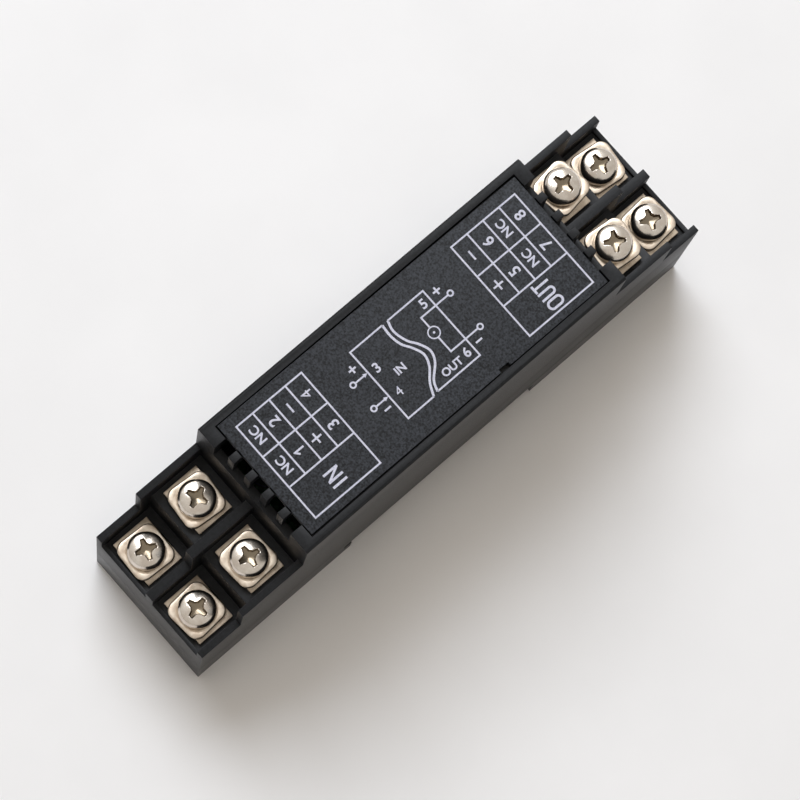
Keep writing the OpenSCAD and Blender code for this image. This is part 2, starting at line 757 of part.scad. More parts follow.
chip_w = 4;
chip_l = 5;
chip_pins = 4;
wide_chip_w = 7.5;
wide_chip_l = 10;
wide_chip_pins = 8;
resistor_count = 5;

module small_chip(end) {
    chip([-part_x, end * part_y], chip_w, chip_l, chip_pins);
}

module isolation_chip() {
    chip([0, -part_y / 2], wide_chip_w, wide_chip_l, wide_chip_pins);
}

module chip_resistors() {
    resistor_w = 1.25;
    resistor_l = 2;
    resistor_t = 0.55;
    pitch = 2.2;
    color("#15161a") for (end = [-1, 1], i = [0 : resistor_count - 1])
        translate([(i - (resistor_count - 1) / 2) * pitch, end * (part_y + capacitor_d), board_top])
            slab(resistor_w, resistor_l, 0, resistor_t);
}

case();
foot();
label_plate();
label_print();
rail_latch();
latch_spring();
circuit_board();
transformer_core();
transformer_bobbin();
transformer_winding();
capacitor(1);  // input_capacitor
capacitor(-1);  // output_capacitor
small_chip(1);  // input_chip
isolation_chip();
small_chip(-1);  // output_chip
chip_resistors();
terminal(1);  // terminal_1
terminal(2);  // terminal_2
terminal(3);  // terminal_3
terminal(4);  // terminal_4
terminal(5);  // terminal_5
terminal(6);  // terminal_6
terminal(7);  // terminal_7
terminal(8);  // terminal_8
clamp_washer(1);  // clamp_washer_1
clamp_washer(2);  // clamp_washer_2
clamp_washer(3);  // clamp_washer_3
clamp_washer(4);  // clamp_washer_4
clamp_washer(5);  // clamp_washer_5
clamp_washer(6);  // clamp_washer_6
clamp_washer(7);  // clamp_washer_7
clamp_washer(8);  // clamp_washer_8
terminal_screw(1);  // terminal_screw_1
terminal_screw(2);  // terminal_screw_2
terminal_screw(3);  // terminal_screw_3
terminal_screw(4);  // terminal_screw_4
terminal_screw(5);  // terminal_screw_5
terminal_screw(6);  // terminal_screw_6
terminal_screw(7);  // terminal_screw_7
terminal_screw(8);  // terminal_screw_8
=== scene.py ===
"""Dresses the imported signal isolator: softened mouldings, plated hardware and a printed label.

The table top, the light and the camera come last.
"""
import math

import bmesh
import bpy
import numpy as np
from mathutils import Matrix, Vector


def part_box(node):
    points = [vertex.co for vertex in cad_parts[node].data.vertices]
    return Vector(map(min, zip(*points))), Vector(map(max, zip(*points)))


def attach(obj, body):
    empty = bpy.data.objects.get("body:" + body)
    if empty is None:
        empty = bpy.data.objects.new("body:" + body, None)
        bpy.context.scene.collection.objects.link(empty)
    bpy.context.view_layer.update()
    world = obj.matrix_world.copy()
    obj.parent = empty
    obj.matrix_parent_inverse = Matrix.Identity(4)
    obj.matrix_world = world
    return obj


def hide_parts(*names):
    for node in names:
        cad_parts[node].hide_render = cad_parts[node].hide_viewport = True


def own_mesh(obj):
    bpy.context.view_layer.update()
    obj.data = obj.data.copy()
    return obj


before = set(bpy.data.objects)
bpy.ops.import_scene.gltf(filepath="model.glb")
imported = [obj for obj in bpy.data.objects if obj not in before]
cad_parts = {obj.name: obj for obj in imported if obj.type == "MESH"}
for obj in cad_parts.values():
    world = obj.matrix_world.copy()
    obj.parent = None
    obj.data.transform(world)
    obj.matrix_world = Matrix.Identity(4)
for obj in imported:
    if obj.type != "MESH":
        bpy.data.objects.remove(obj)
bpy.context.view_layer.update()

MM = 0.001
TERMINALS = range(1, 9)
# Angle that each cross recess and each clamp washer came to rest at, in degrees
CROSS_TURN = (12, -18, -8, 20, -31, 12, -24, -8)
WASHER_TURN = (4, -3, 3, -5, -6, 8, 4, -7)


# Node and colour helpers

def linear(code):
    """Linear RGBA of an sRGB hex colour: c/12.92 up to 0.04045, and ((c + 0.055)/1.055)^2.4 above it."""
    srgb = np.array([int(code[i:i + 2], 16) for i in (1, 3, 5)]) / 255
    low, high = srgb / 12.92, ((srgb + 0.055) / 1.055) ** 2.4
    return (*np.where(srgb <= 0.04045, low, high), 1)


def add(tree, kind, settings, links=()):
    """A new node: settings go to its properties or else its inputs, and links join an input to a socket.

    An input goes by its name or by its number.
    """
    node = tree.nodes.new(kind)
    for name, value in dict(settings).items():
        if isinstance(name, str) and hasattr(node, name):
            setattr(node, name, value)
        else:
            node.inputs[name].default_value = value
    for name, socket in dict(links).items():
        tree.links.new(socket, node.inputs[name])
    return node


def per_mm(size):
    """Texture scale that makes one feature of a noise pattern size millimetres across."""
    return 1 / (size * MM)


def new_material(name, **constants):
    """A material whose Principled shader holds the constants, with its tree and that shader."""
    material = bpy.data.materials.new(name)
    material.use_nodes = True
    shader = material.node_tree.nodes["Principled BSDF"]
    for socket, value in constants.items():
        shader.inputs[socket.replace("_", " ").title().replace("Ior", "IOR")].default_value = value
    return material, material.node_tree, shader


def grained(name, dark, light, grain_mm, blotch_mm, roughness, bump_mm, **constants):
    """A surface of two near colours in soft blotches, with a fine grain in its height and its roughness."""
    blotch_detail, grain_detail = 4, 3
    dark_up_to, light_from = 0.35, 0.65
    material, tree, shader = new_material(name, **constants)
    place = add(tree, "ShaderNodeTexCoord", {}).outputs["Object"]
    blotch = add(
        tree, "ShaderNodeTexNoise", {"Scale": per_mm(blotch_mm), "Detail": blotch_detail}, {"Vector": place}
    )
    grain = add(
        tree, "ShaderNodeTexNoise", {"Scale": per_mm(grain_mm), "Detail": grain_detail}, {"Vector": place}
    )
    ramp = add(tree, "ShaderNodeValToRGB", {}, {"Fac": blotch.outputs[0]})
    dark_stop, light_stop = ramp.color_ramp.elements
    dark_stop.position, light_stop.position = dark_up_to, light_from
    dark_stop.color, light_stop.color = linear(dark), linear(light)
    rough = add(
        tree, "ShaderNodeMapRange", {"To Min": roughness[0], "To Max": roughness[1]},
        {"Value": grain.outputs[0]},
    )
    bump = add(tree, "ShaderNodeBump", {"Distance": bump_mm * MM}, {"Height": grain.outputs[0]})
    tree.links.new(ramp.outputs["Color"], shader.inputs["Base Color"])
    tree.links.new(rough.outputs["Result"], shader.inputs["Roughness"])
    tree.links.new(bump.outputs["Normal"], shader.inputs["Normal"])
    return material


def paint_recess_shade(material, colour):
    """Painted shade in the cross recess: a point attribute mixes a darker colour into the plating where the
    recess sinks in.
    """
    # Numbers of the Mix node's colour sockets, whose names its other sockets share
    factor, clean, shaded, result = 0, 6, 7, 2
    tree = material.node_tree
    shader = tree.nodes["Principled BSDF"]
    plated = shader.inputs["Base Color"].links[0].from_socket
    recess_shade = add(tree, "ShaderNodeAttribute", {"attribute_name": "painted_recess_shade"})
    mixed = add(
        tree, "ShaderNodeMix", {"data_type": "RGBA", shaded: linear(colour)},
        {factor: recess_shade.outputs["Fac"], clean: plated},
    )
    tree.links.new(mixed.outputs[result], shader.inputs["Base Color"])


def wound_copper():
    """Enamelled copper wire in close turns: a wave across the winding gives one ridge for each turn, with
    painted shade in the valleys between the turns.
    """
    wire_mm, ridge_mm, unevenness = 0.3, 0.1, 0.3
    material, tree, shader = new_material(
        "enamelled_copper_wire", metallic=1, roughness=0.28, coat_weight=0.5
    )
    place = add(tree, "ShaderNodeTexCoord", {}).outputs["Object"]
    # A wave texture repeats every pi/10 of its coordinate at scale 1
    scale = math.pi / 10 / (wire_mm * MM)
    turns = add(
        tree, "ShaderNodeTexWave", {"bands_direction": "Y", "Scale": scale, "Distortion": unevenness},
        {"Vector": place},
    )
    ramp = add(tree, "ShaderNodeValToRGB", {}, {"Fac": turns.outputs["Fac"]})
    shaded_valley, ridge = ramp.color_ramp.elements
    # Painted shade: the valleys between the turns take a dark brown, the ridges the copper's own colour
    shaded_valley.color, ridge.color = linear("#4a1d0c"), linear("#b8683a")
    bump = add(tree, "ShaderNodeBump", {"Distance": ridge_mm * MM}, {"Height": turns.outputs["Fac"]})
    tree.links.new(ramp.outputs["Color"], shader.inputs["Base Color"])
    tree.links.new(bump.outputs["Normal"], shader.inputs["Normal"])
    return material


# Materials, each named for the real one

# Injection-moulded black ABS from a spark-eroded mould: a fine, even texture with a soft sheen
black_abs = grained(
    "moulded_black_abs", "#101113", "#1a1b1e", grain_mm=0.2, blotch_mm=0.5, roughness=(0.36, 0.5),
    bump_mm=0.02, ior=1.5, specular_ior_level=0.22,
)
# The same ABS from a smoother mould, on the foot and the latch
smooth_abs = grained(
    "smooth_black_abs", "#101113", "#17181a", grain_mm=0.3, blotch_mm=3, roughness=(0.34, 0.48),
    bump_mm=0.008, ior=1.5, specular_ior_level=0.4,
)
# Calendered dark polycarbonate sheet with a matt grain that shows as fine speckle
label_sheet = grained(
    "grained_polycarbonate_sheet", "#07080b", "#36393f", grain_mm=0.2, blotch_mm=0.28,
    roughness=(0.48, 0.7), bump_mm=0.045, ior=1.5, specular_ior_level=0.28,
)
# Screen-printed ink, slightly porous and lilac-white
print_ink = grained(
    "screen_print_ink", "#b9bbd0", "#dadbe8", grain_mm=0.1, blotch_mm=0.16, roughness=(0.5, 0.62),
    bump_mm=0.004,
)
# Nickel-plated steel, stamped and tumbled: warm, softly blurred, with faint handling marks
nickel_washer = grained(
    "tumbled_nickel_plate", "#c4b29e", "#e2d4c2", grain_mm=0.35, blotch_mm=0.9, roughness=(0.26, 0.4),
    bump_mm=0.006, metallic=1,
)
# Nickel-plated steel, cold-headed: smoother than the washers, so that its highlights are tighter
nickel_screw = grained(
    "headed_nickel_plate", "#d6cabd", "#e8dfd4", grain_mm=0.5, blotch_mm=1.5, roughness=(0.2, 0.3),
    bump_mm=0.003, metallic=1,
)
# Painted shade: a grey-brown mixed into each cross recess, darker the deeper the recess
paint_recess_shade(nickel_screw, "#8f8270")
# Nickel-plated brass strip, rolled and folded: a little duller than the washers
nickel_strip = grained(
    "rolled_nickel_strip", "#bfae9a", "#d6c6b2", grain_mm=0.3, blotch_mm=1, roughness=(0.34, 0.46),
    bump_mm=0.004, metallic=1,
)
# Drawn spring steel wire with a light oil film
spring_wire = grained(
    "drawn_spring_steel", "#8d9094", "#a9acb0", grain_mm=0.1, blotch_mm=0.5, roughness=(0.25, 0.36),
    bump_mm=0.002, metallic=1,
)
# Glass-epoxy board under green solder mask, with the weave just showing
solder_mask = grained(
    "solder_mask_on_glass_epoxy", "#0f4a26", "#17602f", grain_mm=0.5, blotch_mm=1, roughness=(0.2, 0.3),
    bump_mm=0.006, ior=1.55,
)
# Pressed and ground manganese-zinc ferrite: dark grey, finely pitted
ferrite = grained(
    "ground_ferrite", "#2b2a2b", "#3d3b3b", grain_mm=0.15, blotch_mm=0.6, roughness=(0.45, 0.6),
    bump_mm=0.01,
)
# Moulded phenolic resin, reddish brown and glossy
phenolic = grained(
    "moulded_phenolic", "#4c1d10", "#60281a", grain_mm=0.4, blotch_mm=2, roughness=(0.25, 0.35),
    bump_mm=0.006, ior=1.6,
)
# Heat-shrunk vinyl sleeve, dark blue and glossy
vinyl_sleeve = grained(
    "shrunk_vinyl_sleeve", "#0f1a33", "#16244a", grain_mm=0.4, blotch_mm=2, roughness=(0.18, 0.28),
    bump_mm=0.006, ior=1.53,
)
# Transfer-moulded epoxy with a matt, sandy surface
epoxy = grained(
    "moulded_epoxy", "#161617", "#202022", grain_mm=0.1, blotch_mm=0.8, roughness=(0.5, 0.65),
    bump_mm=0.01, ior=1.56,
)
# Pressed laminate with a matt, almost white face, on the table
laminate = grained(
    "matt_laminate", "#f4f4f5", "#f8f8f9", grain_mm=0.5, blotch_mm=30, roughness=(0.6, 0.75),
    bump_mm=0.002,
)


def paint_node(node, material):
    """Gives a CAD node that stays in view its finish."""
    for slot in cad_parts[node].material_slots:
        slot.material = material


for node, finish in {
    "circuit_board": solder_mask, "transformer_core": ferrite, "transformer_bobbin": phenolic,
    "transformer_winding": wound_copper(), "input_capacitor": vinyl_sleeve, "output_capacitor": vinyl_sleeve,
    "input_chip": epoxy, "isolation_chip": epoxy, "output_chip": epoxy, "chip_resistors": epoxy,
}.items():
    paint_node(node, finish)


# Piece helpers

def new_piece(name, mesh, body, slot, material, *nodes):
    """A piece from a mesh: it rides on a body, stands for CAD nodes and takes the material as its finish. The
    slot is not used.
    """
    piece = bpy.data.objects.new(name, mesh)
    bpy.context.scene.collection.objects.link(piece)
    mesh.materials.clear()
    mesh.materials.append(material)
    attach(piece, body)
    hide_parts(*nodes)
    return piece


def surface(name, points, faces, sharp_degrees):
    """A smooth-shaded mesh of points in metres, with edges sharp above an angle."""
    mesh = bpy.data.meshes.new(name)
    mesh.from_pydata(points.tolist(), [], faces)
    mesh.polygons.foreach_set("use_smooth", np.ones(len(faces), dtype=bool))
    mesh.set_sharp_from_angle(angle=math.radians(sharp_degrees))
    mesh.update()
    return mesh


def grid_quads(rows, columns, close_rows=False):
    """Quads between neighbours of a grid whose columns close on themselves, and its rows too if asked."""
    r = np.arange(rows if close_rows else rows - 1)[:, None]
    c = np.arange(columns)[None, :]
    r2, c2 = (r + 1) % rows, (c + 1) % columns
    corners = [r * columns + c, r2 * columns + c, r2 * columns + c2, r * columns + c2]
    return np.stack(np.broadcast_arrays(*corners), axis=-1).reshape(-1, 4).tolist()


def end_caps(rows, columns):
    """The first and the last row of a grid as two faces, which close the ends of a tube."""
    return [list(range(columns)), list(range((rows - 1) * columns, rows * columns))[::-1]]


def outwards(mesh):
    """Turns every face of a closed mesh outwards."""
    build = bmesh.new()
    build.from_mesh(mesh)
    bmesh.ops.recalc_face_normals(build, faces=build.faces)
    build.to_mesh(mesh)
    build.free()


def softened(node, body, slot, material, edge_mm):
    """A copy of a CAD node, its triangles merged into faces and its edges rounded to edge_mm."""
    merge_mm, flat = 0.001, math.radians(1)
    edge_degrees, edge_segments = 35, 3
    build = bmesh.new()
    build.from_mesh(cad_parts[node].data)
    bmesh.ops.remove_doubles(build, verts=build.verts, dist=merge_mm * MM)
    bmesh.ops.dissolve_limit(build, angle_limit=flat, verts=build.verts, edges=build.edges)
    mesh = bpy.data.meshes.new(node + "_softened")
    build.to_mesh(mesh)
    build.free()
    mesh.polygons.foreach_set("use_smooth", np.ones(len(mesh.polygons), dtype=bool))
    piece = new_piece(node + "_softened", mesh, body, slot, material, node)
    bevel = piece.modifiers.new("rounded_edges", "BEVEL")
    bevel.width = edge_mm * MM
    bevel.segments = edge_segments
    bevel.limit_method = "ANGLE"
    bevel.angle_limit = math.radians(edge_degrees)
    bevel.harden_normals = True


softened("case", "housing", "black_plastic", black_abs, edge_mm=0.18)
softened("foot", "housing", "black_plastic", smooth_abs, edge_mm=0.15)
softened("label_plate", "housing", "label_plate", label_sheet, edge_mm=0.08)
softened("rail_latch", "latch", "latch_plastic", smooth_abs, edge_mm=0.15)
for n in TERMINALS:
    softened(f"terminal_{n}", "housing", "terminal_metal", nickel_strip, edge_mm=0.06)


# Clamp washers and screws, in millimetres from the screw's axis at the washer's foot

WASHER_T = 1
HEAD_D = 5.6
HEAD_H = 2.2


def axis_of(n):
    """Place in metres of terminal n's screw axis at the foot of its washer."""
    low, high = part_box(f"clamp_washer_{n}")
    return np.array([(low[0] + high[0]) / 2, (low[1] + high[1]) / 2, low[2]])


def rounded_square(inset):
    """Outline of the washer moved inwards: corner - inset from four centres, each over a quarter turn."""
    side, corner, arc_points = 6.6, 1.5, 12
    turn = np.linspace(0, math.pi / 2, arc_points)
    quarter = np.arange(4)[:, None] * math.pi / 2
    normal = (turn[None, :] + quarter).ravel()
    centre = np.repeat(quarter.ravel() + math.pi / 4, arc_points)
    reach = (side / 2 - corner) * math.sqrt(2)
    x = reach * np.cos(centre) + (corner - inset) * np.cos(normal)
    y = reach * np.sin(centre) + (corner - inset) * np.sin(normal)
    return x, y


def washer_points():
    """Rings from the foot's edge over the rounded rim to the bore and down it, with a groove round the head.

    The rim's two edges are quarter circles: fillet * (1 - sin) in, fillet * (1 - cos) up, then the reverse.
    The foot stands a hair above the terminal plate, so that the two faces never coincide.
    """
    fillet, fillet_points, foot = 0.22, 5, 0.02
    bore_r, bore_edge = 1.65, 0.1
    groove_r, groove_w, groove_depth = 2.62, 0.26, 0.15
    groove_edge_w, groove_edge_drop = 0.05, 0.02
    bend = np.linspace(0, math.pi / 2, fillet_points)
    insets = np.concatenate([fillet * (1 - np.sin(bend)), fillet * (1 - np.cos(bend))])
    heights = np.concatenate([foot + fillet * (1 - np.cos(bend)), WASHER_T - fillet * (1 - np.sin(bend))])
    edge = [(*rounded_square(inset), height) for inset, height in zip(insets, heights)]
    angle = np.arctan2(edge[0][1], edge[0][0])
    half = groove_w / 2
    inner = [
        (groove_r + half + groove_edge_w, WASHER_T), (groove_r + half, WASHER_T - groove_edge_drop),
        (groove_r + half / 2, WASHER_T - groove_depth), (groove_r - half / 2, WASHER_T - groove_depth),
        (groove_r - half, WASHER_T - groove_edge_drop), (groove_r - half - groove_edge_w, WASHER_T),
        (bore_r + bore_edge, WASHER_T), (bore_r, WASHER_T - bore_edge), (bore_r, foot + bore_edge),
        (bore_r + bore_edge, foot),
    ]
    rings = edge + [(r * np.cos(angle), r * np.sin(angle), z) for r, z in inner]
    return np.stack([np.stack([x, y, np.full_like(x, z)], axis=-1) for x, y, z in rings])


def head_height(r):
    """Pan head: a ball of radius R gives h - (R - sqrt(R^2 - r^2)), less a quarter ellipse over the rim."""
    ball_r, fillet, drop = 6.2, 0.6, 1
    crown = HEAD_H - (ball_r - np.sqrt(ball_r ** 2 - r ** 2))
    over = np.clip((r - (HEAD_D / 2 - fillet)) / fillet, 0, 1)
    return crown - drop * (1 - np.sqrt(1 - over ** 2))


def cross_depth_at(r, angle):
    """Cross recess: depth * (1 - rise * (2r/arm_l)^power) inside two crossed arms and a round core.

    The arms taper from the root, and the depth falls to nothing over a wall's width across the outline.
    """
    arm_l, root_w, taper, core_r, depth, wall = 3.1, 1.2, 0.44, 0.85, 1.1, 0.14
    rise, power = 0.55, 1.5
    x, y = np.abs(r * np.cos(angle)), np.abs(r * np.sin(angle))
    arm_x = np.minimum((root_w - taper * x) / 2 - y, arm_l / 2 - x)
    arm_y = np.minimum((root_w - taper * y) / 2 - x, arm_l / 2 - y)
    inside = np.maximum(np.maximum(arm_x, arm_y), core_r - r)
    floor_share = 1 - rise * np.clip(r / (arm_l / 2), 0, 1) ** power
    return depth * floor_share * np.clip(1 / 2 + inside / wall, 0, 1)


def screw_points(turn_degrees, shank_l):
    """Rows of a screw from the middle of its recess over the head and down the threaded shank to its tip.

    The shank's radius is r0 minus the thread depth times a triangle wave of z/pitch - angle/2pi. The second
    result is how much painted shade each point of the recess takes, from 0 to 1, growing with its depth.
    """
    columns, recess_rows, rim_rows, rows_per_turn = 144, 34, 12, 6
    middle_r, recess_r, rim_from = 0.04, 1.9, 0.78
    core_d, shank_d, pitch, chamfer, neck = 2.3, 2.9, 0.5, 0.35, 0.2
    under_edge, bend_in, bend_up, root = 0.25, 0.07, 0.08, 0.1
    full_shade_depth = 0.5

    def all_round(values):
        return np.repeat(np.asarray(values, dtype=float)[:, None], columns, axis=1)

    angle = np.linspace(0, 2 * math.pi, columns, endpoint=False)[None, :]
    rim = HEAD_D / 2 * np.sin(np.linspace(rim_from, math.pi / 2, rim_rows))
    r_top = all_round(np.concatenate([np.linspace(middle_r, recess_r, recess_rows), rim]))
    sunk = cross_depth_at(r_top, angle - math.radians(turn_degrees))
    z_top = head_height(r_top) - sunk
    r_under = all_round([HEAD_D / 2, HEAD_D / 2 - bend_in, HEAD_D / 2 - under_edge, shank_d / 2 + root])
    z_under = all_round([under_edge, bend_up, 0, 0])
    z_shank = all_round(np.linspace(-neck, -shank_l, int(shank_l / pitch * rows_per_turn)))
    wave = np.abs(2 * ((z_shank / pitch - angle / (2 * math.pi)) % 1) - 1)
    fade = np.clip(np.minimum(-z_shank - neck, z_shank + shank_l) / pitch, 0, 1)
    taper = np.clip((z_shank + shank_l) / chamfer, 0, 1)
    r_shank = shank_d / 2 - (shank_d - core_d) / 2 * np.maximum(1 - taper, wave * fade)
    r = np.concatenate([r_top, r_under, r_shank])
    z = np.concatenate([z_top, z_under, z_shank])
    # Painted shade: each point of the recess takes the darker colour in step with its depth, fully from half
    # a millimetre down
    recess_shade = np.zeros(r.shape)
    recess_shade[:len(sunk)] = np.clip(sunk / full_shade_depth, 0, 1)
    return np.stack([r * np.cos(angle), r * np.sin(angle), z], axis=-1), recess_shade


def add_washer(n):
    """The clamp washer of terminal n."""
    turn = math.radians(WASHER_TURN[n - 1])
    spin = np.array([[math.cos(turn), -math.sin(turn), 0], [math.sin(turn), math.cos(turn), 0], [0, 0, 1]])
    rings = washer_points()
    faces = grid_quads(rings.shape[0], rings.shape[1], close_rows=True)
    points = rings.reshape(-1, 3) @ spin.T * MM + axis_of(n)
    mesh = surface(f"square_washer_{n}", points, faces, sharp_degrees=50)
    outwards(mesh)
    new_piece(f"square_washer_{n}", mesh, f"washer_{n}", "washer_metal", nickel_washer, f"clamp_washer_{n}")


def add_screw(n):
    """The screw of terminal n, whose head sits on its washer."""
    low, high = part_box(f"terminal_screw_{n}")
    shank_l = (high[2] - low[2]) / MM - HEAD_H
    rows, recess_shade = screw_points(CROSS_TURN[n - 1], shank_l)
    count, columns = rows.shape[:2]
    seat = axis_of(n) + np.array([0, 0, WASHER_T * MM])
    faces = grid_quads(count, columns) + end_caps(count, columns)
    mesh = surface(f"pan_screw_{n}", rows.reshape(-1, 3) * MM + seat, faces, sharp_degrees=50)
    outwards(mesh)
    # The recess's painted shade goes to the mesh as a point attribute
    mesh.attributes.new("painted_recess_shade", "FLOAT", "POINT").data.foreach_set("value", recess_shade.ravel())
    new_piece(f"pan_screw_{n}", mesh, f"screw_{n}", "screw_metal", nickel_screw, f"terminal_screw_{n}")


for n in TERMINALS:
    add_washer(n)
    add_screw(n)


# Latch spring

def add_spring():
    """A round wire along a helix whose turns close up towards both ends, so that it stands square.

    At a share t of its turns, the wire has run t - close * sin(2 pi t) of the spring's length.
    """
    coil_d, wire_d, turns, travel, close = 3, 0.4, 7, 3, 0.12
    steps, sides = 240, 12
    low, high = (np.array(corner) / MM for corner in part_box("latch_spring"))
    length = high[1] - low[1]
    middle_z = (low[2] + high[2]) / 2
    t = np.linspace(0, 1, steps)[:, None]
    around = 2 * math.pi * turns * t
    ring = np.linspace(0, 2 * math.pi, sides, endpoint=False)[None, :]
    r = (coil_d - wire_d) / 2 + wire_d / 2 * np.cos(ring)
    along = high[1] - wire_d / 2 - (length - wire_d) * (t - close * np.sin(2 * math.pi * t))
    y = along - wire_d / 2 * np.sin(ring)
    points = np.stack([r * np.cos(around), y, middle_z + r * np.sin(around)], axis=-1)
    faces = grid_quads(steps, sides) + end_caps(steps, sides)
    mesh = surface("closed_end_spring", points.reshape(-1, 3) * MM, faces, sharp_degrees=60)
    outwards(mesh)
    piece = new_piece("closed_end_spring", mesh, "housing", "spring_steel", spring_wire, "latch_spring")
    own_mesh(piece)


add_spring()


# Printed label, in millimetres on the plate's face

INK_T = 0.035
LINE_W = 0.25
PRINT_SKEW = -0.3
TABLE_ROWS = 4
TABLE_COLUMNS = 3
TABLE_X = (-8.42, 7.93)
DIGIT_H = 1.7
SIGN_H = {"NC": 1.35, "+": 1.65, "-": 1.55}
DRAWING_END = 6.65
plate_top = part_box("label_plate")[1][2] / MM


class LabelPrint:
    """Collects printed shapes as one closed mesh on the plate."""

    def __init__(self):
        self.build = bmesh.new()

    def put(self, points, faces):
        """Adds points (x, y, z in mm) and their faces."""
        mesh = bpy.data.meshes.new("shape")
        mesh.from_pydata((np.asarray(points) * MM).tolist(), [], faces)
        self.build.from_mesh(mesh)
        bpy.data.meshes.remove(mesh)

    def cells(self, xs, ys, filled, skew):
        """Closed solid over the filled cells of a grid, walled where a filled cell meets an empty one."""
        x, y = np.meshgrid(xs, ys)
        turn = math.radians(skew)
        flat = np.stack([
            x * math.cos(turn) - y * math.sin(turn), x * math.sin(turn) + y * math.cos(turn),
            np.full_like(x, plate_top),
        ], axis=-1).reshape(-1, 3)
        count = len(flat)
        row, column = np.nonzero(filled)
        a = row * len(xs) + column
        corners = np.stack([a, a + 1, a + 1 + len(xs), a + len(xs)], axis=-1)
        faces = (corners + count).tolist() + corners[:, ::-1].tolist()
        padded = np.pad(filled, 1)
        around = [padded[:-2, 1:-1], padded[1:-1, 2:], padded[2:, 1:-1], padded[1:-1, :-2]]
        for side, beside in enumerate(around):
            open_side = ~beside[row, column].astype(bool)
            p, q = corners[open_side, side], corners[open_side, (side + 1) % 4]
            faces += np.stack([p, q, q + count, p + count], axis=-1).tolist()
        self.put(np.concatenate([flat, flat + [0, 0, INK_T]]), faces)

    def line(self, points, closed=False, width=LINE_W):
        """A printed line with mitred corners: each point moves half a width along (n1 + n2)/(1 + n1.n2)."""
        p = np.asarray(points, dtype=float)
        before, after = np.roll(p, 1, axis=0), np.roll(p, -1, axis=0)
        if not closed:
            before[0], after[-1] = 2 * p[0] - p[1], 2 * p[-1] - p[-2]
        n1, n2 = (
            np.stack([-step[:, 1], step[:, 0]], axis=-1) / np.linalg.norm(step, axis=1)[:, None]
            for step in (p - before, after - p)
        )
        mitre = width / 2 * (n1 + n2) / (1 + (n1 * n2).sum(axis=1))[:, None]
        section = [(p + mitre, 0), (p - mitre, 0), (p - mitre, INK_T), (p + mitre, INK_T)]
        edges = [np.c_[edge, np.full(len(p), plate_top + height)] for edge, height in section]
        faces = grid_quads(len(p), len(edges), close_rows=closed)
        if not closed:
            faces += end_caps(len(p), len(edges))
        self.put(np.stack(edges, axis=1).reshape(-1, 3), faces)

    def ring(self, centre, radius, width=LINE_W):
        """A printed circle."""
        ring_points = 36
        angle = np.linspace(0, 2 * math.pi, ring_points, endpoint=False)
        x, y = centre[0] + radius * np.cos(angle), centre[1] + radius * np.sin(angle)
        self.line(np.stack([x, y], axis=-1), True, width)

    def patch(self, outline):
        """A filled shape given by its outline."""
        count = len(outline)
        flat = np.c_[np.asarray(outline, dtype=float), np.full(count, plate_top)]
        step = np.arange(count)
        walls = np.stack([step, (step + 1) % count, (step + 1) % count + count, step + count], axis=-1)
        ends = [list(range(count))[::-1], list(range(count, 2 * count))]
        self.put(np.concatenate([flat, flat + [0, 0, INK_T]]), walls.tolist() + ends)

    def words(self, text, capital, place, turn, bold):
        """Text centred on a place, its capitals as high as given and its strokes widened by bold.

        It is made a mesh before it is scaled, turned and placed.
        """
        # Height of the font's capitals as a share of its size
        capital_share = 0.729
        curve = bpy.data.curves.new("words", "FONT")
        curve.body = text
        curve.align_x = "CENTER"
        curve.size = capital / capital_share
        curve.extrude = INK_T / 2
        curve.offset = bold
        source = bpy.data.objects.new("words", curve)
        bpy.context.scene.collection.objects.link(source)
        bpy.context.view_layer.update()
        depsgraph = bpy.context.evaluated_depsgraph_get()
        mesh = bpy.data.meshes.new_from_object(source.evaluated_get(depsgraph))
        bpy.data.objects.remove(source)
        centre = Matrix.Translation((0, -capital / 2, 0))
        mesh.transform(
            Matrix.Scale(MM, 4) @ Matrix.Translation((*place, plate_top + INK_T / 2))
            @ Matrix.Rotation(math.radians(turn), 4, "Z") @ centre
        )
        self.build.from_mesh(mesh)
        bpy.data.meshes.remove(mesh)

    def finish(self, name):
        """Closes the seams, turns the faces outwards and makes the piece."""
        seam_mm = 0.0005
        bmesh.ops.remove_doubles(self.build, verts=self.build.verts, dist=seam_mm * MM)
        bmesh.ops.recalc_face_normals(self.build, faces=self.build.faces)
        mesh = bpy.data.meshes.new(name)
        self.build.to_mesh(mesh)
        self.build.free()
        new_piece(name, mesh, "housing", "ink", print_ink, "label_print")


